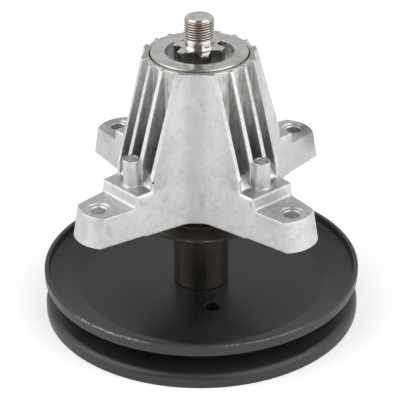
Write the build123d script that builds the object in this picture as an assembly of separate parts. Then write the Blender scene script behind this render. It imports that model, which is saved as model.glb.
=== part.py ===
from build123d import *
import os
from math import atan2, cos, radians, sin, sqrt, tan

os.makedirs("parts", exist_ok=True)

# Mower blade spindle, upside down on its belt pulley. Millimetres, axis on Z, ground at Z = 0,
# blade end up. Feet lie on the diagonals, so their holes form a square along X and Y.

# Belt pulley, pressed from two sheets
pulley_d = 178.0
pulley_h = 26.4
sheet_t = 2.4
web_flat_d = 138.0
groove_wall_angle = 17.5
sheet_bend_r = 2.8
sheet_edge_r = 0.5
web_hole_d = 8.6
web_hole_r = 33.6
web_hole_angle = -76.5

# Shaft, 5/8 inch thread at both ends
journal_d = 20.0
thread_d = 15.875
stub_length = 16.6
end_chamfer = 1.1
neck_cone_h = 1.2
drive_d = 18.0
flat_step = 0.3
shoulder_gap = 0.5
ground_gap = 0.8
star_h = 11.8
star_tip_d = 27.6
star_root_d = 18.6
star_tip_angle = 17.0
star_points = 6
star_turn = 45.0

# Flanged nut under the pulley
nut_h = 9.0
nut_across_flats = 23.8
nut_flange_d = 30.0
nut_flange_h = 2.2

# Flanged spacer between pulley and bearing
spacer_length = 52.6
spacer_d = 31.0
flange_d = 62.0
flange_rim_t = 1.8
flange_under_h = 39.6
flange_rise = 1.8
flange_ring_d = 42.0
flange_ring_h = 0.8
spacer_neck_d = 32.0
spacer_land_h = 2.4

# Ball bearings, 20 x 47 x 14, two alike
race_d = 47.0
bearing_w = 14.0
ball_d = 7.938
ball_count = 8
groove_gap = 0.05
race_lip = 3.1
race_chamfer = 0.8
seal_t = 1.0
seal_inset = 0.2
seal_step = 0.9
cage_t = 2.8
cage_back = 1.2
cage_prong_h = 2.2
pocket_gap = 0.12
bearing_gap = 47.3

# Seat cap at the blade end
cap_land_h = 0.6
cap_floor_t = 2.4
cap_h = 11.9
cap_wall_t = 2.1
cap_overhang = 2.8
cap_bore_d = 36.9
cap_edge_r = 0.7
cap_skirt_lift = 1.8
cap_gap = 0.8

# Housing casting: tube, legs and feet
rim_drop = 1.1
rim_wall = 2.1
rib_stand = 2.0
rib_cone_slope = 0.316
tube_slope = 0.03
panel_slope = 0.061
panel_margin = 0.2
bearing_shoulder = 3.0
ledge_gap = 0.4
pilot_boss_d = 59.0
pilot_boss_h = 2.5
pilot_pad_d = 111.0
pilot_pad_h = 0.7
bearing_recess = 1.0
rib_pitch = 9.4
rib_t = 2.1
rib_draft = 0.35
ramp_h = 5.5
leg_end_s = 46.6
leg_end_lean = 1.4
shoulder_h = 6.8
shoulder_s = 57.0
shoulder_lean = 0.7
foot_h = 16.5
foot_wall = 4.5
foot_bulge = 4.0
foot_draft = 3.5
foot_valley_y = 33.6
base_valley_y = 34.1

# Legs in plan at four heights: width across the flanks where the ribs end, how much each flank
# closes in per millimetre outwards, and radius of the valley between two legs. The flanks of the
# shoulder lie inside those of the foot top, and the flanks of the base outside them.
rim_leg_w = 30.2
rim_taper = 0.0
rim_valley_r = 18.0
shoulder_inset = 0.7
shoulder_taper = 0.05
shoulder_valley_r = 24.0
foot_leg_w = 30.6
foot_taper = 0.13
foot_valley_r = 24.0
foot_flank_draft = 2.05
base_taper = 0.171
base_valley_r = 7.0

# Rounding of the casting
corner_r = 1.5
step_foot_r = 1.5
edge_r = 0.6
boss_foot_r = 0.8
hole_square = 101.6
hole_d = 8.5
hole_seat_d = 13.2
hole_seat_depth = 0.8
hole_chamfer = 0.7
boss_s = 48.6
boss_d = 9.2
boss_h = 14.9
boss_draft = 0.3
boss_rim_t = 0.9
boss_recess = 0.5
core_w = 13.0
core_wall = 5.0
core_depth = 14.0
core_corner_r = 3.0

# Fits
fit_gap = 0.02
slide_gap = 0.05
seal_gap = 0.08

# Heights and radii worked out from the sizes above
web_mid_z = pulley_h / 2
web_top_z = web_mid_z + sheet_t
web_low_z = web_mid_z - sheet_t
low_bearing_z = web_top_z + spacer_length
high_bearing_z = low_bearing_z + bearing_w + bearing_gap
cap_z = high_bearing_z + bearing_w
cap_floor_z = cap_z + cap_land_h + cap_floor_t
cap_top_z = cap_z + cap_h
star_top_z = cap_floor_z + star_h
stub_top_z = star_top_z + stub_length
journal_r = journal_d / 2
drive_flats = thread_d + flat_step
race_r = race_d / 2
pitch_r = (journal_r + race_r) / 2
ball_r = ball_d / 2
inner_lip_r = pitch_r - race_lip
outer_lip_r = pitch_r + race_lip
cap_r = race_r + cap_overhang
counterbore_r = cap_r + cap_gap
tube_top_r = counterbore_r + rim_wall
rib_top_r = tube_top_r + rib_stand
rim_z = cap_top_z - rim_drop
base_z = low_bearing_z - bearing_recess + pilot_boss_h
foot_top_z = base_z + foot_h
shoulder_z = foot_top_z + shoulder_h
hole_s = hole_square * sqrt(0.5)
foot_end_s = hole_s + hole_d / 2 + foot_wall - foot_bulge
shoulder_leg_w = foot_leg_w - 2 * shoulder_inset
base_leg_w = foot_leg_w + 2 * foot_flank_draft


def turned(points):
    """Solid of revolution about Z from a closed outline of radius and height pairs."""
    outline = make_face(Polyline(*points, close=True))
    return revolve(Plane.XZ * outline, Axis.Z)


def tube(outer_r, inner_r, low_z, high_z):
    """Plain ring between two heights."""
    return turned([(inner_r, low_z), (outer_r, low_z), (outer_r, high_z), (inner_r, high_z)])


def disc(radius, low_z, high_z):
    """Solid cylinder on the axis between two heights."""
    return Pos(0, 0, low_z) * extrude(Circle(radius), high_z - low_z)


def around(shape, count, start=0.0):
    """Copies of a shape turned about Z, evenly spaced."""
    return [Rot(0, 0, start + 360 * i / count) * shape for i in range(count)]


def flatted_bar(across_r, across_flats, low_z, high_z):
    """Round bar with two flats: the shaft's drive, and the cutter for the holes that it fits."""
    width = 4 * across_r
    section = Circle(across_r) & Rectangle(width, across_flats)
    return Pos(0, 0, low_z) * extrude(section, high_z - low_z)


def pulley_half(upper):
    """One pressed half: flat web, sloped groove wall and straight lip, as one bent sheet."""
    side = 1 if upper else -1
    lip_r = (pulley_d - sheet_t) / 2
    bend_r = web_flat_d / 2
    web_z = web_mid_z + side * sheet_t / 2
    wall_z = web_z + side * (lip_r - bend_r) * tan(radians(groove_wall_angle))
    lip_z = web_mid_z + side * pulley_h / 2
    bends = [(0, web_z), (bend_r, web_z), (lip_r, wall_z), (lip_r, lip_z)]
    section = trace(FilletPolyline(*bends, radius=sheet_bend_r), sheet_t)
    lip_corners = section.vertices().sort_by(Axis.Y)
    lip_corners = lip_corners[-2:] if upper else lip_corners[:2]
    section = fillet(lip_corners, sheet_edge_r)
    half = revolve(Plane.XZ * section, Axis.Z)
    half -= flatted_bar(drive_d / 2 + slide_gap, drive_flats + 2 * slide_gap, 0, pulley_h)
    web_hole = Rot(0, 0, web_hole_angle) * Pos(web_hole_r, 0, 0) * disc(web_hole_d / 2, 0, pulley_h)
    return half - web_hole


def star_section(tip_r, root_r):
    """Star with flat-ended points and one sharp valley between each two."""
    corners = []
    for i in range(star_points):
        middle = star_turn + 360 * i / star_points
        half = star_tip_angle / 2
        for r, angle in ((tip_r, -half), (tip_r, half), (root_r, 180 / star_points)):
            a = radians(middle + angle)
            corners.append((r * cos(a), r * sin(a)))
    return make_face(Polyline(*corners, close=True))


def spindle_shaft():
    """Turned shaft: lower thread, drive flats, journal, star, plain neck and upper thread."""
    thread_r = thread_d / 2
    flats_low_z = web_low_z + shoulder_gap
    flats_high_z = web_top_z + shoulder_gap
    shaft = turned([
        (0, ground_gap),
        (thread_r - end_chamfer, ground_gap),
        (thread_r, ground_gap + end_chamfer),
        (thread_r, flats_low_z),
        (0, flats_low_z),
    ])
    shaft += flatted_bar(drive_d / 2, drive_flats, flats_low_z, flats_high_z)
    shaft += disc(journal_r, flats_high_z, cap_floor_z)
    star = Pos(0, 0, cap_floor_z) * extrude(star_section(star_tip_d / 2, star_root_d / 2), star_h)
    shaft += star
    shaft += turned([
        (0, star_top_z),
        (thread_r + neck_cone_h / 2, star_top_z),
        (thread_r, star_top_z + neck_cone_h),
        (thread_r, stub_top_z - end_chamfer),
        (thread_r - end_chamfer, stub_top_z),
        (0, stub_top_z),
    ])
    return shaft


def pulley_nut():
    """Hexagon nut with a round flange against the pulley's web."""
    low_z = web_low_z - nut_h
    hexagon = RegularPolygon(nut_across_flats / 2, 6, major_radius=False)
    body = Pos(0, 0, low_z) * extrude(hexagon, nut_h)
    across_corners_r = nut_across_flats / sqrt(3)
    corner = across_corners_r - nut_across_flats / 2
    body &= turned([
        (0, low_z),
        (nut_across_flats / 2, low_z),
        (across_corners_r, low_z + corner / 2),
        (across_corners_r, web_low_z),
        (0, web_low_z),
    ])
    flange_r = nut_flange_d / 2
    body += turned([
        (0, web_low_z),
        (flange_r, web_low_z),
        (flange_r, web_low_z - nut_flange_h / 2),
        (flange_r - nut_flange_h, web_low_z - nut_flange_h),
        (0, web_low_z - nut_flange_h),
    ])
    return body - disc(thread_d / 2 + slide_gap, low_z, web_low_z)


def flanged_spacer():
    """Black sleeve that carries the pulley's clamp load, with its dust flange near the casting."""
    bore_r = journal_r + slide_gap
    body_r = spacer_d / 2
    flange_r = flange_d / 2
    ring_r = flange_ring_d / 2
    neck_r = spacer_neck_d / 2
    under_z = web_top_z + flange_under_h
    rim_z0 = under_z - flange_rise / 2
    rim_z1 = rim_z0 + flange_rim_t
    cone_z = rim_z1 + flange_rise
    ring_z = cone_z + flange_ring_h
    edge = flange_rim_t / 4
    land_z = low_bearing_z - spacer_land_h
    return turned([
        (bore_r, web_top_z),
        (body_r - edge, web_top_z),
        (body_r, web_top_z + edge),
        (body_r, under_z),
        (flange_r - edge, rim_z0),
        (flange_r, rim_z0 + edge),
        (flange_r, rim_z1 - edge),
        (flange_r - edge, rim_z1),
        (ring_r, cone_z),
        (ring_r - flange_ring_h, ring_z),
        (neck_r, ring_z),
        (neck_r, land_z),
        (inner_lip_r - race_chamfer, land_z + spacer_land_h / 3),
        (inner_lip_r - race_chamfer, low_bearing_z),
        (bore_r, low_bearing_z),
    ])


def ball_groove(mid_z):
    """Ring of circular section that the races are hollowed by."""
    section = Pos(pitch_r, mid_z) * Circle(ball_r + groove_gap)
    return revolve(Plane.XZ * section, Axis.Z)


def inner_race(low_z):
    """Bearing inner race on the shaft's journal."""
    bore_r = journal_r + fit_gap
    high_z = low_z + bearing_w
    ring = turned([
        (bore_r, low_z + race_chamfer / 2),
        (bore_r + race_chamfer / 2, low_z),
        (inner_lip_r, low_z),
        (inner_lip_r, high_z),
        (bore_r + race_chamfer / 2, high_z),
        (bore_r, high_z - race_chamfer / 2),
    ])
    return ring - ball_groove(low_z + bearing_w / 2)


def outer_race(low_z):
    """Bearing outer race, pressed in the casting, stepped at both ends for the seals."""
    high_z = low_z + bearing_w
    depth = seal_t + seal_inset
    step_r = outer_lip_r + seal_step
    ring = turned([
        (race_r - race_chamfer, low_z),
        (race_r, low_z + race_chamfer),
        (race_r, high_z - race_chamfer),
        (race_r - race_chamfer, high_z),
        (step_r, high_z),
        (step_r, high_z - depth),
        (outer_lip_r, high_z - depth),
        (outer_lip_r, low_z + depth),
        (step_r, low_z + depth),
        (step_r, low_z),
    ])
    return ring - ball_groove(low_z + bearing_w / 2)


def seal(low_z, upper):
    """Thin rubber ring held in the outer race's step, its lip just clear of the inner race."""
    inner_r = inner_lip_r + seal_gap
    outer_r = outer_lip_r + seal_step - fit_gap
    face_z = low_z + (bearing_w - seal_inset if upper else seal_inset)
    back_z = face_z - seal_t if upper else face_z + seal_t
    dish_z = (face_z + back_z) / 2
    band = (outer_r - inner_r) / 5
    return turned([
        (inner_r, back_z),
        (outer_r, back_z),
        (outer_r, face_z),
        (outer_r - band, face_z),
        (outer_r - 2 * band, dish_z),
        (inner_r + 2 * band, dish_z),
        (inner_r + band, face_z),
        (inner_r, face_z),
    ])


def balls(low_z):
    """Balls of one bearing, evenly spaced."""
    ball = Pos(pitch_r, 0, low_z + bearing_w / 2) * Sphere(ball_r)
    return Compound(around(ball, ball_count))


def cage(low_z):
    """Moulded crown cage: a ring with pockets that are open towards the blade end."""
    mid_z = low_z + bearing_w / 2
    back_z = mid_z - ball_r - pocket_gap - cage_back
    ring = tube(pitch_r + cage_t / 2, pitch_r - cage_t / 2, back_z, mid_z + cage_prong_h)
    pocket = Pos(pitch_r, 0, mid_z) * Sphere(ball_r + pocket_gap)
    for cut in around(pocket, ball_count):
        ring -= cut
    return ring


def blade_seat_cap():
    """Steel cup clamped under the star: flat seat on top, skirt that turns in the casting's mouth."""
    bore_r = journal_r + slide_gap
    well_r = cap_bore_d / 2
    floor_z = cap_z + cap_land_h
    land_r = inner_lip_r - race_chamfer / 2
    section = make_face(Polyline(
        (bore_r, cap_z),
        (land_r, cap_z),
        (land_r, floor_z),
        (well_r + cap_wall_t, floor_z),
        (well_r + cap_wall_t, cap_top_z - cap_wall_t),
        (cap_r - cap_wall_t, cap_top_z - cap_wall_t),
        (cap_r - cap_wall_t, cap_z + cap_skirt_lift),
        (cap_r, cap_z + cap_skirt_lift),
        (cap_r, cap_top_z),
        (well_r, cap_top_z),
        (well_r, cap_floor_z),
        (bore_r, cap_floor_z),
        close=True,
    ))
    outer_top = section.vertices().sort_by(Axis.X)[-2:].sort_by(Axis.Y)[-1]
    section = fillet(outer_top, cap_edge_r)
    return revolve(Plane.XZ * section, Axis.Z)


def on_leg(along, aside):
    """X and distance towards the front of a point given along a leg's diagonal and aside of it."""
    return (along - aside) * sqrt(0.5), (along + aside) * sqrt(0.5)


def leg_plan(z, width, taper, valley_y, valley_r, end_s, bulge=0.0):
    """Plan of all four legs at one height. Their ends are straight, or bulge by a given height."""
    root = width / 2 + taper * leg_end_s
    valley_aside = (root - taper * valley_y * sqrt(2)) / (1 - taper)
    valley_x = valley_y - valley_aside * sqrt(2)
    x, y = on_leg(end_s, root - taper * end_s)
    middle = (end_s + bulge) * sqrt(0.5)
    edges = []
    for i in range(4):
        turn = Rot(0, 0, 90 * i)
        edges.append(turn * Line((-valley_x, -valley_y), (valley_x, -valley_y)))
        edges.append(turn * Line((valley_x, -valley_y), (x, -y)))
        if bulge:
            edges.append(turn * ThreePointArc((x, -y), (middle, -middle), (y, -x)))
        else:
            edges.append(turn * Line((x, -y), (y, -x)))
        edges.append(turn * Line((y, -x), (valley_y, -valley_x)))
    plan = make_face(edges)
    valleys = plan.vertices().sort_by(SortBy.DISTANCE)[:8]
    half_turn = atan2(y - valley_y, x - valley_x) / 2
    longest_r = 0.98 * valley_x / tan(half_turn)
    return Pos(0, 0, z) * fillet(valleys, min(valley_r, longest_r))


def base_plan(z):
    """Plan of the casting at the face that bolts to the deck."""
    end_s = foot_end_s + foot_draft
    return leg_plan(z, base_leg_w, base_taper, base_valley_y, base_valley_r, end_s, foot_bulge)


def feet():
    """The four feet: drafted block from the base up to the foot top."""
    high = leg_plan(
        foot_top_z, foot_leg_w, foot_taper, foot_valley_y, foot_valley_r, foot_end_s, foot_bulge
    )
    return loft([base_plan(base_z), high], ruled=True)


def shoulder_plan(end_s):
    """Plan of the legs at the height where the ribs start."""
    panel_y = panel_distance(shoulder_z)
    return leg_plan(shoulder_z, shoulder_leg_w, shoulder_taper, panel_y, shoulder_valley_r, end_s)


def shoulders():
    """Raised step between each foot and the ribs."""
    low = leg_plan(
        foot_top_z, foot_leg_w, foot_taper, foot_valley_y, foot_valley_r, shoulder_s + shoulder_lean
    )
    return loft([low, shoulder_plan(shoulder_s)], ruled=True)


def panel_distance(z):
    """How far the flat middle of a side panel lies from the axis."""
    return tube_top_r + panel_margin + panel_slope * (rim_z - z)


def cone_radius(z):
    """Radius of the cone on which all rib edges lie."""
    return rib_top_r + rib_cone_slope * (rim_z - z)


def rib_block():
    """Panels and legs before the pockets are cut, bounded by the ribs' cone and the leg ends."""
    far = cone_radius(shoulder_z)
    rim_plan = leg_plan(rim_z, rim_leg_w, rim_taper, panel_distance(rim_z), rim_valley_r, far)
    block = loft([shoulder_plan(far), rim_plan], ruled=True)
    block &= turned([(0, shoulder_z), (far, shoulder_z), (rib_top_r, rim_z), (0, rim_z)])
    end_top = leg_end_s - leg_end_lean
    outline = make_face(Polyline(
        (leg_end_s, shoulder_z), (far, shoulder_z), (far, rim_z), (end_top, rim_z), close=True
    ))
    beyond = extrude(Plane.XZ * outline, far, both=True)
    for copy in around(beyond, 4, -45):
        block -= copy
    return block


def pocket(aside):
    """Space between two ribs of one leg, narrower at its floor, with the ramp at its outer end."""
    floor_z = shoulder_z + ramp_h
    above = rim_z + rim_drop
    reach = cone_radius(shoulder_z)
    half = (rib_pitch - rib_t) / 2
    section = make_face(Polyline(
        (aside - half + rib_draft, shoulder_z),
        (aside + half - rib_draft, shoulder_z),
        (aside + half, above),
        (aside - half, above),
        close=True,
    ))
    floor = make_face(Polyline(
        (0, shoulder_z),
        (leg_end_s, shoulder_z),
        (leg_end_s - ramp_h, floor_z),
        (0, floor_z),
        close=True,
    ))
    space = extrude(Plane.YZ * section, reach) - extrude(Plane.XZ * floor, reach, both=True)
    return Rot(0, 0, -45) * space


def boss():
    """Round cast boss in front of the middle pocket, with a flared foot and a rim around its top."""
    top_z = shoulder_z + boss_h
    r = boss_d / 2
    foot_r = r + boss_draft
    flare = boss_foot_r * 1.5
    section = make_face(Polyline(
        (0, foot_top_z),
        (foot_r + flare, foot_top_z),
        (foot_r + flare, shoulder_z),
        (foot_r, shoulder_z),
        (r, top_z),
        (r - boss_rim_t, top_z),
        (r - boss_rim_t - boss_recess / 2, top_z - boss_recess),
        (0, top_z - boss_recess),
        close=True,
    ))
    inner_corner = section.vertices().sort_by_distance((foot_r, shoulder_z))[0]
    section = fillet(inner_corner, boss_foot_r)
    return Rot(0, 0, -45) * Pos(boss_s, 0, 0) * revolve(Plane.XZ * section, Axis.Z)


def screw_hole():
    """Clearance hole through a foot, with a shallow round seat for the screw head."""
    r = hole_d / 2
    seat_r = hole_seat_d / 2
    seat_z = foot_top_z - hole_seat_depth
    cut = turned([
        (0, base_z),
        (r, base_z),
        (r, seat_z - hole_chamfer),
        (r + hole_chamfer, seat_z),
        (seat_r - hole_seat_depth / 2, seat_z),
        (seat_r, foot_top_z),
        (0, foot_top_z),
    ])
    return Pos(hole_square / 2, hole_square / 2, 0) * cut


def leg_core():
    """Cored pocket under one leg, open towards the deck."""
    start = pilot_boss_d / 2 + core_wall
    end = shoulder_s - core_wall
    length = end - start
    mouth = RectangleRounded(length, core_w, core_corner_r)
    core = extrude(mouth, core_depth + pilot_pad_h, taper=2)
    return Rot(0, 0, -45) * Pos((start + end) / 2, 0, base_z - pilot_pad_h) * core


def leg_edges(shape, fits):
    """Edges whose points all fit a test of their distance along a leg, aside of it, and height."""
    chosen = []
    for edge in shape.edges():
        points = [edge @ share for share in (0.03, 0.5, 0.97)]
        if all(fits(
            (abs(p.X) + abs(p.Y)) * sqrt(0.5), abs(abs(p.X) - abs(p.Y)) * sqrt(0.5), p.Z
        ) for p in points):
            chosen.append(edge)
    return chosen


def rounded(body):
    """The casting with its feet and steps rounded, one kind of edge after another."""
    near = 0.08
    foot_half = foot_leg_w / 2 - foot_taper * (foot_end_s - leg_end_s)
    base_half = base_leg_w / 2 - base_taper * (foot_end_s + foot_draft - leg_end_s)
    corner_aside = min(foot_half, base_half)
    step_s = shoulder_s + shoulder_lean
    stages = [
        (corner_r, lambda s, a, z: s > foot_end_s - near and a > corner_aside - near),
        (edge_r, lambda s, a, z: abs(z - foot_top_z) < near and s > step_s + near),
        (edge_r, lambda s, a, z: foot_top_z + near < z < shoulder_z + near and s > shoulder_s - near),
        (step_foot_r, lambda s, a, z: abs(z - foot_top_z) < near and abs(s - step_s) < near),
    ]
    for radius, fits in stages:
        body = body.fillet(radius, leg_edges(body, fits))
    return body


def housing():
    """The whole casting, machined for the two bearings and the seat cap."""
    body = feet() + shoulders() + rib_block()
    for aside in (-rib_pitch, 0, rib_pitch):
        for cut in around(pocket(aside), 4):
            body -= cut
    body += turned([
        (0, base_z),
        (tube_top_r + tube_slope * (rim_z - base_z), base_z),
        (tube_top_r, rim_z),
        (0, rim_z),
    ])
    body = rounded(body)
    for copy in around(boss(), 4):
        body += copy
    pad_z = base_z - pilot_pad_h
    body += extrude(base_plan(pad_z), pilot_pad_h) & disc(pilot_pad_d / 2, pad_z, base_z)
    body += disc(pilot_boss_d / 2, base_z - pilot_boss_h, base_z)
    for cut in around(screw_hole(), 4) + around(leg_core(), 4):
        body -= cut
    bore_r = race_r + fit_gap
    ledge_z = cap_z + ledge_gap
    body -= disc(race_r - bearing_shoulder, base_z - pilot_boss_h, rim_z)
    body -= disc(bore_r, base_z - pilot_boss_h, low_bearing_z + bearing_w)
    body -= disc(bore_r, high_bearing_z, ledge_z)
    body -= disc(counterbore_r, ledge_z, rim_z)
    return body


nodes = {
    "housing": housing(),
    "spindle_shaft": spindle_shaft(),
    "blade_seat_cap": blade_seat_cap(),
    "flanged_spacer": flanged_spacer(),
    "bearing_spacer": tube(
        inner_lip_r, journal_r + slide_gap, low_bearing_z + bearing_w, high_bearing_z
    ),
    "pulley_upper_half": pulley_half(upper=True),
    "pulley_lower_half": pulley_half(upper=False),
    "pulley_nut": pulley_nut(),
}
for name, low_z in (("pulley_bearing", low_bearing_z), ("blade_bearing", high_bearing_z)):
    nodes[name + "_outer_race"] = outer_race(low_z)
    nodes[name + "_inner_race"] = inner_race(low_z)
    nodes[name + "_balls"] = balls(low_z)
    nodes[name + "_cage"] = cage(low_z)
    nodes[name + "_upper_seal"] = seal(low_z, upper=True)
    nodes[name + "_lower_seal"] = seal(low_z, upper=False)

for name, shape in nodes.items():
    export_step(shape, f"parts/{name}.step")
    print(name, "written")
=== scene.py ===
import math

import bmesh
import bpy
from mathutils import Matrix, Vector

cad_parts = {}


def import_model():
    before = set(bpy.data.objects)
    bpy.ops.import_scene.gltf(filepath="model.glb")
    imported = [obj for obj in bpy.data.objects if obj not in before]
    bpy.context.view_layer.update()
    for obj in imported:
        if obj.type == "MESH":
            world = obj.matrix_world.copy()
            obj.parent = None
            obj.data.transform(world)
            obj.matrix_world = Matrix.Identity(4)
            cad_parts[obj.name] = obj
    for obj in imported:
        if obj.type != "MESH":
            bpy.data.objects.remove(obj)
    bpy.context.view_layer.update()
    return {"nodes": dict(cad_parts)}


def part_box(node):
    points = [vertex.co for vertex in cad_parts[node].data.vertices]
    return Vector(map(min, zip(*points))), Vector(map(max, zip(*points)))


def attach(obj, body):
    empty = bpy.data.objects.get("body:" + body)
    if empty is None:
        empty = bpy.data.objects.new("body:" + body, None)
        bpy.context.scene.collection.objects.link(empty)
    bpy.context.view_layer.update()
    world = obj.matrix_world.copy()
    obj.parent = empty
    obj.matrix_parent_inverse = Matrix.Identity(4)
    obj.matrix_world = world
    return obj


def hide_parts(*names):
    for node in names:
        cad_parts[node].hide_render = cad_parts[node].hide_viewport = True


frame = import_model()
nodes = frame["nodes"]

MM = 0.001

# Heights and places on the casting that its finish follows, in millimetres
FOOT_TOP = 86.2
SHOULDER_TOP = 93.0
BOSS_TOP = 107.4
RIM_TOP = 154.3
BOSS_SQUARE = 34.37
BOSS_R = 5.0
HOLE_SQUARE = 50.8
HOLE_R = 4.5
RIB_LOW_Z, RIB_LOW_R = 90.0, 51.5
RIB_TOP_R = 31.2
PANEL_ASIDE = 18.6

WHITE = (1.0, 1.0, 1.0)


class Nodes:
    """A node tree with short calls for the nodes used here."""

    def __init__(self, owner):
        owner.use_nodes = True
        self.tree = owner.node_tree
        self.tree.nodes.clear()

    def add(self, kind, **settings):
        node = self.tree.nodes.new(kind)
        for key, value in settings.items():
            setattr(node, key, value)
        return node

    def feed(self, socket, value):
        if isinstance(value, bpy.types.NodeSocket):
            self.tree.links.new(value, socket)
        elif value is not None:
            socket.default_value = value

    def math(self, operation, a, b=None, clamp=False):
        node = self.add("ShaderNodeMath", operation=operation, use_clamp=clamp)
        self.feed(node.inputs[0], a)
        self.feed(node.inputs[1], b)
        return node.outputs[0]

    def times(self, first, *others):
        for other in others:
            first = self.math("MULTIPLY", first, other)
        return first

    def fit(self, value, low, high, to_low=0.0, to_high=1.0, smooth=True):
        """A value's range mapped to another and held at its ends."""
        kind = "SMOOTHSTEP" if smooth else "LINEAR"
        node = self.add("ShaderNodeMapRange", interpolation_type=kind)
        self.feed(node.inputs["Value"], value)
        node.inputs["From Min"].default_value = low
        node.inputs["From Max"].default_value = high
        node.inputs["To Min"].default_value = to_low
        node.inputs["To Max"].default_value = to_high
        return node.outputs["Result"]

    def sight(self):
        """Rays from the camera, and rays that a surface mirrors or lets through."""
        path = self.add("ShaderNodeLightPath")
        sharp = self.math(
            "MAXIMUM", path.outputs["Is Glossy Ray"], path.outputs["Is Transmission Ray"]
        )
        return path.outputs["Is Camera Ray"], sharp


class Graph(Nodes):
    """The nodes of a material. Lengths and places are in millimetres."""

    def __init__(self, name):
        self.material = bpy.data.materials.new(name)
        super().__init__(self.material)
        self.shader = self.add("ShaderNodeBsdfPrincipled")
        out = self.add("ShaderNodeOutputMaterial")
        self.feed(out.inputs["Surface"], self.shader.outputs["BSDF"])
        scale = self.add("ShaderNodeVectorMath", operation="SCALE")
        self.feed(scale.inputs[0], self.add("ShaderNodeTexCoord").outputs["Object"])
        scale.inputs["Scale"].default_value = 1 / MM
        self.mm = scale.outputs["Vector"]

    def stretch(self, scale):
        """The place, stretched along the axes."""
        node = self.add("ShaderNodeVectorMath", operation="MULTIPLY")
        self.feed(node.inputs[0], self.mm)
        node.inputs[1].default_value = scale
        return node.outputs["Vector"]

    def noise(self, scale, detail=3.0, rough=0.5, at=None, warp=0.0):
        node = self.add("ShaderNodeTexNoise")
        self.feed(node.inputs["Vector"], at or self.mm)
        node.inputs["Scale"].default_value = scale
        node.inputs["Detail"].default_value = detail
        node.inputs["Roughness"].default_value = rough
        node.inputs["Distortion"].default_value = warp
        return node.outputs["Fac"]

    def dots(self, scale):
        """The distance to scattered points."""
        node = self.add("ShaderNodeTexVoronoi")
        self.feed(node.inputs["Vector"], self.mm)
        node.inputs["Scale"].default_value = scale
        return node.outputs["Distance"]

    def blend(self, factor, a, b):
        node = self.add("ShaderNodeMix", data_type="RGBA")
        self.feed(node.inputs[0], factor)
        for socket, color in ((node.inputs[6], a), (node.inputs[7], b)):
            self.feed(socket, (*color, 1) if isinstance(color, tuple) else color)
        return node.outputs[2]

    def axes(self):
        node = self.add("ShaderNodeSeparateXYZ")
        self.feed(node.inputs[0], self.mm)
        return node.outputs

    def radius(self):
        x, y, _ = self.axes()
        return self.math("SQRT", self.math("ADD", self.times(x, x), self.times(y, y)))

    def spot(self, centre, inner, outer, along_z=1.0):
        """One within inner of a point, nothing beyond outer; along_z under one makes it taller."""
        scale = (1.0, 1.0, along_z)
        node = self.add("ShaderNodeVectorMath", operation="DISTANCE")
        self.feed(node.inputs[0], self.mm if along_z == 1.0 else self.stretch(scale))
        node.inputs[1].default_value = [c * k for c, k in zip(centre, scale)]
        return self.fit(node.outputs["Value"], inner, outer, 1.0, 0.0)

    def from_post(self, place, square):
        """The distance from the nearest of four upright axes at plus and minus square."""
        off = [self.math("SUBTRACT", self.math("ABSOLUTE", v), square) for v in place[:2]]
        return self.math("SQRT", self.math("ADD", *[self.times(v, v) for v in off]))

    def facing_up(self, low=0.85, high=0.97):
        up = self.add("ShaderNodeSeparateXYZ")
        self.feed(up.inputs[0], self.add("ShaderNodeNewGeometry").outputs["Normal"])
        return self.fit(up.outputs["Z"], low, high)

    def normal(self, height, depth, base=None):
        node = self.add("ShaderNodeBump")
        node.inputs["Strength"].default_value = 1.0
        node.inputs["Distance"].default_value = depth * MM
        self.feed(node.inputs["Height"], height)
        self.feed(node.inputs["Normal"], base)
        return node.outputs["Normal"]

    def round_edges(self, radius, samples=6):
        """The normal as if edges were rounded, by one radius or one that changes with place."""
        node = self.add("ShaderNodeBevel", samples=samples)
        if isinstance(radius, bpy.types.NodeSocket):
            self.feed(node.inputs["Radius"], self.times(radius, MM))
        else:
            node.inputs["Radius"].default_value = radius * MM
        return node.outputs["Normal"]

    def edge(self, rounded, gain):
        """How far the rounded normal turns from the true one: one on edges, nothing on flats."""
        dot = self.add("ShaderNodeVectorMath", operation="DOT_PRODUCT")
        self.feed(dot.inputs[0], rounded)
        self.feed(dot.inputs[1], self.add("ShaderNodeNewGeometry").outputs["Normal"])
        turned_away = self.math("SUBTRACT", 1.0, dot.outputs["Value"])
        return self.math("MULTIPLY", turned_away, gain, clamp=True)

    def turned(self, amount):
        """Turning marks run round the axis, so highlights stretch across them."""
        round_z = self.add("ShaderNodeTangent", direction_type="RADIAL", axis="Z")
        self.feed(self.shader.inputs["Tangent"], round_z.outputs["Tangent"])
        self.shader.inputs["Anisotropic"].default_value = amount
        self.shader.inputs["Anisotropic Rotation"].default_value = 0.25

    def finish(self, color, rough, normal=None, metallic=0.0):
        self.feed(self.shader.inputs["Base Color"], color)
        self.feed(self.shader.inputs["Roughness"], rough)
        self.feed(self.shader.inputs["Normal"], normal)
        self.shader.inputs["Metallic"].default_value = metallic
        return self.material


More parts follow.
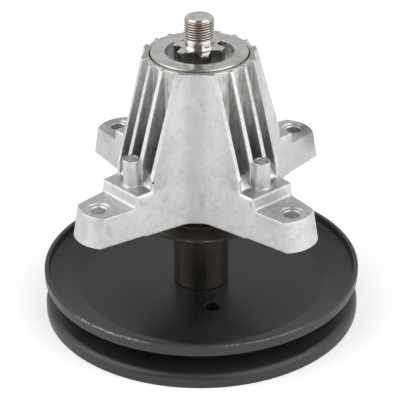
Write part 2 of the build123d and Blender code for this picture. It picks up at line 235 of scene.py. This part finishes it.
# Marks on the casting: centre, inner and outer radius, along_z, colour and share; some are painted
# shade and painted highlight
CAST_MARKS = [
    # dark pits and a faint smudge on the front
    ((-22.2, -43.0, 97.9), 0.45, 0.95, 1.0, (0.07, 0.045, 0.035), 0.95),
    ((2.7, -30.5, 137.8), 0.2, 0.6, 1.0, (0.16, 0.13, 0.11), 0.9),
    ((-16.5, -39.4, FOOT_TOP + 0.4), 0.5, 4.0, 1.0, (0.50, 0.43, 0.33), 0.30),
    ((2.6, -33.8, 82.0), 0.3, 2.6, 0.30, (0.42, 0.42, 0.42), 0.55),
    ((-2.0, -33.8, 93.0), 1.0, 5.5, 0.30, (0.52, 0.52, 0.53), 0.30),
    # cream spots on the front right foot
    ((40.7, -59.2, 72.6), 0.8, 2.6, 1.0, (0.93, 0.88, 0.76), 0.65),
    ((44.9, -61.9, 75.5), 0.4, 1.8, 1.0, (0.93, 0.88, 0.76), 0.6),
    ((43.6, -61.1, 71.0), 0.6, 2.2, 1.0, (0.90, 0.84, 0.70), 0.6),
    # small dark pits on the back right foot and the front right step
    ((46.8, 27.4, 93.0), 0.3, 0.9, 1.0, (0.10, 0.08, 0.07), 0.8),
    ((53.1, 37.0, FOOT_TOP), 0.4, 1.1, 1.0, (0.12, 0.10, 0.09), 0.8),
    ((50.2, 30.5, 87.8), 0.3, 0.8, 1.0, (0.16, 0.13, 0.12), 0.7),
    ((29.2, -49.2, 89.0), 0.2, 0.9, 0.4, (0.25, 0.23, 0.21), 0.6),
    # grey blotches on the front left foot
    ((-57.5, -58.5, 78.0), 0.8, 4.0, 0.45, (0.46, 0.46, 0.46), 0.55),
    ((-44.5, -61.5, 79.0), 0.4, 2.2, 0.45, (0.48, 0.48, 0.49), 0.50),
    ((-50.5, -62.5, 84.0), 0.5, 4.5, 0.6, (0.55, 0.54, 0.53), 0.45),
    # painted shade: darker tops of the back feet and of the front right foot
    ((-57.3, 55.5, FOOT_TOP), 2.0, 10.0, 1.0, (0.34, 0.34, 0.34), 0.65),
    ((-53.3, 39.7, FOOT_TOP), 1.5, 9.0, 1.0, (0.36, 0.36, 0.36), 0.60),
    ((59.9, 48.4, FOOT_TOP), 4.0, 15.0, 1.0, (0.16, 0.16, 0.16), 0.90),
    ((44.0, -46.0, FOOT_TOP), 5.0, 17.0, 1.0, (0.40, 0.40, 0.39), 0.60),
    # painted shade: darker sides of the back feet and of the front left one
    ((70.0, 25.0, 77.0), 12.0, 42.0, 1.0, (0.56, 0.56, 0.565), 0.60),
    ((-70.0, 25.0, 77.0), 12.0, 42.0, 1.0, (0.54, 0.54, 0.545), 0.70),
    ((-62.0, -52.0, 76.0), 6.0, 18.0, 1.0, (0.58, 0.58, 0.585), 0.55),
    # a painted highlight and a dark spot on the top of the front right boss
    ((33.4, -35.2, BOSS_TOP), 0.7, 1.6, 1.0, WHITE, 0.95),
    ((36.3, -34.0, BOSS_TOP), 0.5, 1.5, 1.0, (0.28, 0.26, 0.24), 0.80),
]


def cast_tone(g, place, mottle, clouds, blotches):
    """Cloudy grey of the bare casting, with painted shade down the front's middle and on the tops.
    """
    x, y, z = place
    color = g.blend(g.fit(clouds, 0.35, 0.65), (0.705, 0.71, 0.715), (0.785, 0.785, 0.78))
    color = g.blend(g.fit(blotches, 0.48, 0.64, 0.0, 0.55), color, (0.58, 0.58, 0.585))
    color = g.blend(g.fit(mottle, 0.40, 0.62, 0.0, 0.55), color, (0.84, 0.84, 0.835))
    # painted shade: a darker band down the middle of the front panel
    from_middle = g.math("ABSOLUTE", g.math("ADD", x, 0.8))
    middle_painted_shade = g.times(
        g.fit(from_middle, 2.0, 8.0, 0.55, 0.0),
        g.fit(y, -8.0, -4.0, 1.0, 0.0),
        g.fit(g.noise(0.06), 0.36, 0.60, 0.35, 1.0),
    )
    color = g.blend(middle_painted_shade, color, (0.58, 0.58, 0.575))
    speckle = g.times(
        g.fit(g.noise(1.5, 2.0), 0.52, 0.70), g.fit(clouds, 0.35, 0.60, 0.15, 0.50)
    )
    color = g.blend(speckle, color, (0.50, 0.50, 0.49))
    # painted shade: faces that look up are made darker
    tops_painted_shade = g.times(g.facing_up(), g.fit(mottle, 0.32, 0.60, 0.25, 0.60))
    color = g.blend(tops_painted_shade, color, (0.50, 0.495, 0.48))
    # painted shade: the upward faces near the top rim are made darker still
    rim_painted_shade = g.times(g.facing_up(0.5, 0.8), g.fit(z, 146.0, 150.0, 0.0, 0.55))
    return g.blend(rim_painted_shade, color, (0.38, 0.38, 0.375))


def cast_pockets(g, place, along, from_boss, color):
    """Stained rib pockets with painted shade, deeper towards their floor, and painted light on the
    outer ramp.
    """
    x, y, z = place
    rib_r = g.fit(z, RIB_LOW_Z, RIM_TOP, RIB_LOW_R, RIB_TOP_R, smooth=False)
    inward = g.math("SUBTRACT", rib_r, g.radius())
    aside = g.math(
        "ABSOLUTE", g.math("SUBTRACT", g.math("ABSOLUTE", x), g.math("ABSOLUTE", y))
    )
    pocket = g.times(
        g.fit(inward, 0.8, 3.0), g.fit(aside, PANEL_ASIDE, PANEL_ASIDE + 0.6, 1.0, 0.0)
    )
    # stain and painted shade: the pockets are stained brown and also made darker overall as shade
    stain = g.fit(g.noise(0.35, 4.0, 0.65, at=g.stretch((1.0, 1.0, 0.30))), 0.42, 0.62)
    inside = g.blend(stain, (0.80, 0.80, 0.79), (0.50, 0.485, 0.46))
    color = g.blend(g.times(pocket, 0.8), color, inside)
    # painted shade: darker towards the pocket floor
    deep_painted_shade = g.times(pocket, g.fit(z, 96.0, 128.0, 0.45, 0.0))
    color = g.blend(deep_painted_shade, color, (0.34, 0.335, 0.33))
    # painted light: the ramp at the pocket's outer end is made white
    ramp_painted_light = g.times(
        g.facing_up(0.20, 0.40),
        g.fit(z, SHOULDER_TOP + 0.1, SHOULDER_TOP + 0.4),
        g.fit(z, 103.0, 106.0, 1.0, 0.0),
        g.fit(from_boss, BOSS_R, BOSS_R + 0.4),
        g.fit(along, 38.5, 41.0),
    )
    return g.blend(ramp_painted_light, color, WHITE)


def cast_marks(g, place, mottle, from_boss, color):
    """Painted light on the walls of the front screw holes, a brown ring on each boss, and
    CAST_MARKS.
    """
    y, z = place[1:]
    # painted light: the walls of the front screw holes are made near white
    hole_painted_light = g.times(
        g.fit(g.from_post(place, HOLE_SQUARE), HOLE_R, HOLE_R + 0.2, 1.0, 0.0),
        g.fit(z, FOOT_TOP - 1.6, FOOT_TOP - 1.3, 1.0, 0.0),
        g.fit(y, -1.0, 1.0, 1.0, 0.0),
    )
    color = g.blend(hole_painted_light, color, (0.97, 0.97, 0.97))
    brim = g.times(
        g.fit(from_boss, 3.2, 3.5),
        g.fit(from_boss, 4.1, 4.4, 1.0, 0.0),
        g.fit(z, BOSS_TOP - 0.9, BOSS_TOP - 0.6),
        0.6,
    )
    color = g.blend(brim, color, (0.30, 0.25, 0.20))
    for centre, inner, outer, along_z, tint, share in CAST_MARKS:
        uneven = g.fit(mottle, 0.30, 0.55, share * 0.6, share)
        color = g.blend(g.times(g.spot(centre, inner, outer, along_z), uneven), color, tint)
    return color


def cast_aluminium():
    """Satin die casting with painted highlights along its edges. Between the feet, the crease at
    the height of their tops is softened."""
    g = Graph("cast_aluminium")
    place = x, y, z = g.axes()
    clouds = g.noise(0.045, 4.0, 0.6)
    blotches = g.noise(0.16, 4.0, 0.6, warp=0.5)
    mottle = g.noise(0.45, 5.0, 0.65)
    grain = g.noise(3.2, 3.0, 0.6)
    pits = g.times(
        g.fit(g.dots(0.16), 0.045, 0.075, 1.0, 0.0), g.fit(g.noise(0.09, 1.0), 0.60, 0.64)
    )
    along = g.times(
        g.math("ADD", g.math("ABSOLUTE", x), g.math("ABSOLUTE", y)), math.sqrt(0.5)
    )
    flare = g.times(
        g.fit(z, 76.0, 84.0), g.fit(z, 88.0, 96.0, 1.0, 0.0), g.fit(along, 52.0, 60.0, 1.0, 0.0)
    )
    rounded = g.round_edges(g.math("ADD", g.times(flare, 7.0), 0.6), 8)
    edge = g.times(g.edge(rounded, 7.0), g.math("SUBTRACT", 1.0, flare))
    from_boss = g.from_post(place, BOSS_SQUARE)

    color = cast_tone(g, place, mottle, clouds, blotches)
    color = cast_pockets(g, place, along, from_boss, color)
    # painted highlight: edges are made near white
    color = g.blend(g.times(edge, 0.85), color, WHITE)
    color = cast_marks(g, place, mottle, from_boss, color)
    color = g.blend(g.times(pits, 0.85), color, (0.12, 0.10, 0.09))

    rough = g.math("SUBTRACT", g.fit(mottle, 0.3, 0.7, 0.44, 0.56), g.times(edge, 0.16))
    height = g.math("ADD", g.times(grain, 0.30), g.times(mottle, 0.8))
    height = g.math("ADD", height, g.times(blotches, 1.2))
    height = g.math("SUBTRACT", height, g.times(pits, 1.5))
    return g.finish(color, rough, g.normal(height, 0.12, rounded), metallic=1.0)


def machined_steel(name, color, dark, rough, well_r=None, edge_r=0.25):
    """Turned steel with fine rings about the axis, faint scratches, specks and a little tarnish.
    Within well_r of the axis, the wall of the bore gets a bluish grey as painted shade."""
    g = Graph(name)
    g.turned(0.6)
    rings = 2.2
    across = g.add("ShaderNodeCombineXYZ")
    g.feed(across.inputs[0], g.times(g.radius(), rings))
    g.feed(across.inputs[1], g.times(g.axes()[2], rings))
    turning = g.noise(1.0, 2.0, 0.6, at=across.outputs[0])
    scratches = g.noise(0.5, 3.0, 0.7, at=g.stretch((1.0, 9.0, 1.0)), warp=0.4)
    stain = g.noise(0.12, 3.0, 0.6)
    specks = g.noise(1.1, 4.0, 0.75)
    base = g.blend(g.fit(stain, 0.40, 0.70), color, dark)
    base = g.blend(g.fit(scratches, 0.58, 0.72, 0.0, 0.35), base, (0.86, 0.85, 0.83))
    base = g.blend(g.fit(specks, 0.56, 0.72, 0.0, 0.35), base, (0.36, 0.35, 0.33))
    if well_r:
        # painted shade: the wall of the bore gets a set bluish grey
        inside = g.fit(g.radius(), well_r, well_r + 0.12, 1.0, 0.0)
        base = g.blend(g.times(inside, 0.85), base, (0.57, 0.58, 0.595))
    roughness = g.fit(scratches, 0.35, 0.75, rough, rough + 0.14)
    height = g.math("ADD", turning, g.times(scratches, 0.5))
    return g.finish(base, roughness, g.normal(height, 0.012, g.round_edges(edge_r)), metallic=1.0)


def shaft_steel():
    """Bright turned steel, painted dark brown in the thread's grooves as shade, with rust in its
    first turns.
    """
    g = Graph("shaft_steel")
    z = g.axes()[2]
    streaks = g.noise(0.9, 3.0, 0.6, at=g.stretch((1.0, 1.0, 4.0)))
    stain = g.noise(0.22, 3.0, 0.6)
    base = g.blend(g.fit(stain, 0.38, 0.66), (0.72, 0.71, 0.69), (0.56, 0.53, 0.48))
    base = g.blend(g.fit(streaks, 0.55, 0.75, 0.0, 0.4), base, (0.42, 0.39, 0.34))
    # painted shade: the thread's grooves are made dark brown so only the crests stay bright
    deep_painted_shade = g.fit(g.radius(), 7.25, 7.85, 1.0, 0.0)
    on_thread = g.times(g.fit(z, 160.2, 160.8), g.fit(z, 173.2, 173.7, 1.0, 0.0))
    groove = g.times(deep_painted_shade, on_thread)
    base = g.blend(g.times(groove, 0.9), base, (0.17, 0.140, 0.105))
    patches = g.fit(g.noise(0.35, 3.0, 0.6), 0.44, 0.60)
    rust = g.times(g.fit(z, 169.0, 172.2), groove, patches, 0.9)
    base = g.blend(rust, base, (0.42, 0.22, 0.07))
    rough = g.math("ADD", g.fit(streaks, 0.35, 0.75, 0.10, 0.20), g.times(groove, 0.12))
    return g.finish(base, rough, g.normal(streaks, 0.008), metallic=1.0)


def black_oxide():
    """Brownish black sleeve: its flange has painted light on top and painted shade at the rim, and
    the face above it has a painted bluish reflection."""
    g = Graph("black_oxide")
    g.turned(0.75)
    z = g.axes()[2]
    streaks = g.noise(0.9, 4.0, 0.6, at=g.stretch((1.0, 1.0, 0.12)))
    clouds = g.noise(0.10, 2.0)
    color = g.blend(g.fit(clouds, 0.30, 0.75), (0.120, 0.106, 0.092), (0.140, 0.122, 0.105))
    color = g.blend(g.fit(streaks, 0.50, 0.75, 0.0, 0.3), color, (0.19, 0.165, 0.140))
    # painted light: the top of the flange is made lighter brown
    flange_top_painted_light = g.times(g.fit(z, 52.0, 54.0, 0.0, 0.9), g.facing_up(0.6, 0.9))
    color = g.blend(flange_top_painted_light, color, (0.46, 0.40, 0.335))
    # painted shade: the flange's rim is made darker
    rim_painted_shade = g.math("SUBTRACT", g.fit(g.radius(), 30.2, 30.8), g.facing_up(0.3, 0.6), clamp=True)
    color = g.blend(rim_painted_shade, color, (0.075, 0.066, 0.056))
    # painted reflection: the face above the flange is made bluish grey
    color = g.blend(g.fit(z, 58.2, 58.5, 0.0, 0.9), color, (0.16, 0.17, 0.185))
    return g.finish(color, g.fit(streaks, 0.3, 0.7, 0.27, 0.31), metallic=0.9)


def pulley_paint():
    """Black paint with orange peel, dust and scuffs, rubbed through along the front of the lip.
    Its edges get wear and painted highlight, the cone and lips painted light, and the web in front
    of the sleeve a painted dark reflection of it.
    """
    g = Graph("pulley_paint")
    z = g.axes()[2]
    from_axis = g.radius()
    peel = g.noise(0.55, 2.0)
    clouds = g.noise(0.03, 3.0, 0.6)
    scuffs = g.noise(0.10, 6.0, 0.75, at=g.stretch((1.0, 2.6, 1.0)), warp=1.2)
    dusty = g.math("MAXIMUM", g.fit(g.noise(0.05, 2.0), 0.47, 0.58), g.spot((5, -55, 30), 12, 38))
    dust = g.times(g.fit(g.dots(0.35), 0.06, 0.12, 0.7, 0.0), dusty)
    rounded = g.round_edges(0.5)
    # wear and painted highlight: rounded edges are made light grey
    worn_and_painted_highlight = g.times(g.edge(rounded, 4.0), g.fit(g.noise(0.25, 4.0, 0.7), 0.50, 0.62))
    rubbed = g.math(
        "ADD", g.spot((-46, -76, 26), 14, 30), g.times(g.spot((38, -80, 26), 16, 34), 0.4)
    )
    brow = g.times(
        g.fit(from_axis, 88.1, 88.5),
        g.fit(z, 25.3, 25.8),
        rubbed,
        g.fit(g.noise(0.5, 4.0, 0.7), 0.42, 0.55),
        0.5,
    )
    # painted reflection: the web in front of the sleeve is made darker
    sleeve_reflection_painted = g.times(g.spot((7.8, -32.7, 20), 5, 26), 0.65)

    color = g.blend(g.fit(clouds, 0.35, 0.65), (0.011, 0.011, 0.0115), (0.018, 0.018, 0.0185))
    color = g.blend(g.fit(scuffs, 0.62, 0.80, 0.0, 0.35), color, (0.05, 0.05, 0.05))
    color = g.blend(sleeve_reflection_painted, color, (0.004, 0.004, 0.004))
    color = g.blend(g.times(dust, 0.8), color, (0.26, 0.25, 0.22))
    color = g.blend(worn_and_painted_highlight, color, (0.30, 0.29, 0.28))
    # painted light: the cone beyond radius 69 and the lips beyond radius 85 are made lighter
    color = g.blend(g.fit(from_axis, 69.2, 70.2, 0.0, 0.30), color, (0.035, 0.035, 0.036))
    color = g.blend(g.fit(from_axis, 85.0, 88.0, 0.0, 0.55), color, (0.060, 0.060, 0.061))
    color = g.blend(brow, color, (0.62, 0.60, 0.56))
    rough = g.math("ADD", g.fit(clouds, 0.3, 0.7, 0.30, 0.38), g.times(dust, 0.3))
    return g.finish(color, rough, g.normal(peel, 0.02, rounded))


def plain(name, light, dark, rough, metallic, scale=0.5, spot=None):
    """Mottled finish for the small pieces that show little, with one spot of another colour."""
    g = Graph(name)
    mottle = g.noise(scale, 4.0, 0.6)
    color = g.blend(g.fit(mottle, 0.35, 0.65), dark, light)
    if spot:
        centre, tint = spot
        color = g.blend(g.spot(centre, 0.3, 0.8), color, tint)
    roughness = g.fit(mottle, 0.3, 0.7, rough, rough + 0.12)
    return g.finish(color, roughness, g.normal(mottle, 0.01, g.round_edges(0.2)), metallic)


# Centre and colour of a rusty spot on the star
RUSTY_SPOT = ((-4.6, -9.8, 156.1), (0.85, 0.42, 0.12))
MATERIALS = {
    "cast_aluminium": cast_aluminium(),
    "machined_steel": machined_steel(
        "machined_steel", (0.66, 0.65, 0.63), (0.52, 0.50, 0.46), 0.24, well_r=18.50, edge_r=1.4
    ),
    "shaft_steel": shaft_steel(),
    "star_scale": plain(
        "star_scale", (0.085, 0.070, 0.058), (0.022, 0.018, 0.015), 0.12, 1.0, spot=RUSTY_SPOT
    ),
    "black_oxide": black_oxide(),
    "pulley_paint": pulley_paint(),
    "bearing_steel": machined_steel(
        "bearing_steel", (0.62, 0.61, 0.60), (0.56, 0.55, 0.54), 0.18
    ),
    "zinc_steel": plain("zinc_steel", (0.62, 0.60, 0.52), (0.50, 0.50, 0.48), 0.30, 1.0),
    "seal_rubber": plain(
        "seal_rubber", (0.03, 0.03, 0.03), (0.02, 0.02, 0.02), 0.55, 0.0, scale=1.5
    ),
    "cage_plastic": plain(
        "cage_plastic", (0.32, 0.26, 0.18), (0.26, 0.21, 0.15), 0.45, 0.0, scale=1.0
    ),
}
FINISH = {
    "housing": "cast_aluminium",
    "blade_seat_cap": "machined_steel",
    "flanged_spacer": "black_oxide",
    "bearing_spacer": "machined_steel",
    "pulley_upper_half": "pulley_paint",
    "pulley_lower_half": "pulley_paint",
    "pulley_nut": "zinc_steel",
    "spindle_shaft": "shaft_steel",
}


def finish_of(name):
    if name in FINISH:
        return FINISH[name]
    if name.endswith("seal"):
        return "seal_rubber"
    return "cage_plastic" if name.endswith("cage") else "bearing_steel"


for name, node in nodes.items():
    node.data.materials.clear()
    node.data.materials.append(MATERIALS[finish_of(name)])


# Thread of 5/8 inch with 18 turns an inch, at both ends of the shaft
THREAD_R = 15.875 / 2 * MM
PITCH = 25.4 / 18 * MM
THREAD_DEPTH = 0.61 * PITCH
GROOVE_SHARE = 0.86
ROOT_FLAT = 1.12
CHAMFER = 1.1 * MM
STEPS = 96
ROWS = 14

STUB_H = 16.6 * MM
STAR_H = 11.9 * MM
STAR_ROOT_R = 8.4 * MM
UPPER_NECK = 2.4 * MM
UPPER_THREAD = 12.6 * MM
LOWER_START_Z = 9.6 * MM
LOWER_THREAD = 8.0 * MM


def thread_mesh(bm, start_z, end_z, length):
    """Helical thread from a plain end at start_z to a chamfered end face at end_z."""
    upwards = end_z > start_z
    count = round(abs(end_z - start_z) / PITCH * ROWS)
    rings = []
    for i in range(count + 1):
        z = start_z + (end_z - start_z) * i / count
        from_end = abs(end_z - z)
        runout = min(1.0, max(0.0, (length - from_end) / PITCH))
        ring = []
        for k in range(STEPS):
            angle = 2 * math.pi * k / STEPS
            phase = (z / PITCH - k / STEPS) % 1.0
            groove = max(0.0, 1.0 - abs(phase - 0.5) * 2 / GROOVE_SHARE)
            r = THREAD_R - THREAD_DEPTH * min(groove * ROOT_FLAT, 1.0) * runout
            r = min(r, THREAD_R - CHAMFER + from_end)
            ring.append(bm.verts.new((r * math.cos(angle), r * math.sin(angle), z)))
        rings.append(ring)
    for a, b in zip(rings, rings[1:]):
        for k in range(STEPS):
            corners = (a[k], a[(k + 1) % STEPS], b[(k + 1) % STEPS], b[k])
            face = bm.faces.new(corners if upwards else corners[::-1])
            face.smooth = True
    bm.faces.new(rings[-1] if upwards else rings[-1][::-1])


def threaded_shaft():
    """The CAD shaft with both thread blanks cut off and real threads in their place."""
    cad = nodes["spindle_shaft"]
    low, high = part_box("spindle_shaft")
    star_top = high.z - STUB_H
    upper_start = star_top + UPPER_NECK
    mesh = cad.data.copy()
    bm = bmesh.new()
    bm.from_mesh(mesh)
    for z, up in ((upper_start, 1), (LOWER_START_Z, -1)):
        everything = bm.verts[:] + bm.edges[:] + bm.faces[:]
        bmesh.ops.bisect_plane(
            bm, geom=everything, plane_co=(0, 0, z), plane_no=(0, 0, up), clear_outer=True
        )
    for face in bm.faces:
        mid = face.calc_center_median()
        flat = abs(face.normal.z) > 0.9
        in_star = star_top - STAR_H < mid.z < star_top - 0.05 * MM
        face.material_index = 1 if in_star and not flat and mid.xy.length > STAR_ROOT_R else 0
    thread_mesh(bm, upper_start, high.z, UPPER_THREAD)
    thread_mesh(bm, LOWER_START_Z, low.z, LOWER_THREAD)
    bm.to_mesh(mesh)
    bm.free()
    mesh.materials.clear()
    mesh.materials.append(MATERIALS["shaft_steel"])
    mesh.materials.append(MATERIALS["star_scale"])
    shaft = bpy.data.objects.new("threaded_shaft", mesh)
    bpy.context.scene.collection.objects.link(shaft)
    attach(shaft, "spindle")
    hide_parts("spindle_shaft")


threaded_shaft()


def floor():
    """Floor that the camera sees as white and mirrors see less bright, with no glow of its own
    under the pulley."""
    half, glow_from, glow_full = 6.0, 0.080, 0.088
    mesh = bpy.data.meshes.new("floor")
    corners = [(-half, -half, 0), (half, -half, 0), (half, half, 0), (-half, half, 0)]
    mesh.from_pydata(corners, [], [(0, 1, 2, 3)])
    plane = bpy.data.objects.new("floor", mesh)
    bpy.context.scene.collection.objects.link(plane)
    material = bpy.data.materials.new("floor_white")
    g = Nodes(material)
    diffuse = g.add("ShaderNodeBsdfDiffuse")
    diffuse.inputs["Color"].default_value = (0.86, 0.86, 0.86, 1)
    glow = g.add("ShaderNodeEmission")
    glow.inputs["Color"].default_value = (1, 1, 1, 1)
    camera_ray, sharp = g.sight()
    seen = g.math("MAXIMUM", camera_ray, g.times(sharp, 0.5))
    from_axis = g.add("ShaderNodeVectorMath", operation="LENGTH")
    g.feed(from_axis.inputs[0], g.add("ShaderNodeTexCoord").outputs["Object"])
    outside = g.fit(from_axis.outputs["Value"], glow_from, glow_full, 0.0, 0.40, smooth=False)
    g.feed(glow.inputs["Strength"], g.times(seen, outside))
    both = g.add("ShaderNodeAddShader")
    g.feed(both.inputs[0], diffuse.outputs[0])
    g.feed(both.inputs[1], glow.outputs[0])
    g.feed(g.add("ShaderNodeOutputMaterial").inputs["Surface"], both.outputs[0])
    plane.data.materials.append(material)


def world():
    """Studio walls, pale behind and beside the object and dark behind the camera. Mirrors see
    them brighter, but dark right overhead."""
    pale, pale_in_mirrors, dark, overhead = 0.50, 0.66, 0.16, 0.18
    made = bpy.data.worlds.new("studio")
    bpy.context.scene.world = made
    g = Nodes(made)
    way = g.add("ShaderNodeSeparateXYZ")
    g.feed(way.inputs[0], g.add("ShaderNodeTexCoord").outputs["Generated"])
    walls = g.fit(way.outputs["Y"], 0.10, -0.50, pale, dark)
    mirrored = g.times(
        g.fit(way.outputs["Y"], 0.10, -0.50, pale_in_mirrors, dark),
        g.fit(way.outputs["Z"], 0.78, 0.95, 1.0, overhead),
    )
    camera_ray, sharp = g.sight()
    level = g.add("ShaderNodeMix")
    g.feed(level.inputs[0], sharp)
    g.feed(level.inputs[2], walls)
    g.feed(level.inputs[3], mirrored)
    background = g.add("ShaderNodeBackground")
    background.inputs["Color"].default_value = (1, 1, 1, 1)
    g.feed(background.inputs["Strength"], g.math("MAXIMUM", level.outputs[0], camera_ray))
    g.feed(g.add("ShaderNodeOutputWorld").inputs["Surface"], background.outputs[0])


def direction(azimuth, elevation):
    """Unit vector from the object towards a place; azimuth 0 is the front, 90 the right."""
    a, e = math.radians(azimuth), math.radians(elevation)
    return Vector((math.sin(a) * math.cos(e), -math.cos(a) * math.cos(e), math.sin(e)))


def softbox(name, azimuth, elevation, distance, width, height, radiance):
    """Rectangular lamp that faces the middle of the object."""
    back = direction(azimuth, elevation)
    lamp = bpy.data.lights.new(name, "AREA")
    lamp.shape = "RECTANGLE"
    lamp.size = width
    lamp.size_y = height
    lamp.energy = radiance * math.pi * width * height
    obj = bpy.data.objects.new(name, lamp)
    obj.location = Vector((0, 0, 0.09)) + back * distance
    obj.rotation_euler = back.to_track_quat("Z", "Y").to_euler()
    bpy.context.scene.collection.objects.link(obj)


def camera():
    """The photograph's view: direction, distance and lens found from its ellipses."""
    azimuth, elevation, roll = 3.517, 28.45, math.radians(0.50)
    distance, height = 0.8874, 0.0651
    lens_in_pixels, pixels_aside = 1590, 0.7
    back = direction(azimuth, elevation)
    data = bpy.data.cameras.new("camera")
    data.sensor_fit = "HORIZONTAL"
    data.sensor_width = 36.0
    data.lens = 143.1
    data.clip_end = 50.0
    obj = bpy.data.objects.new("camera", data)
    place = Vector((0, 0, height)) + back * distance
    aim = back.to_track_quat("Z", "Y").to_matrix() @ Matrix.Rotation(-roll, 3, "Z")
    aside = Matrix.Rotation(pixels_aside / lens_in_pixels, 3, "Y")
    obj.matrix_world = Matrix.Translation(place) @ (aim @ aside).to_4x4()
    bpy.context.scene.collection.objects.link(obj)
    bpy.context.scene.camera = obj


floor()
world()
softbox("softbox_left", -68, 36, 1.2, 1.20, 1.45, 1.60)
softbox("softbox_right", 60, 36, 1.2, 1.40, 1.45, 1.55)
camera()
bpy.context.scene.view_settings.view_transform = "Standard"
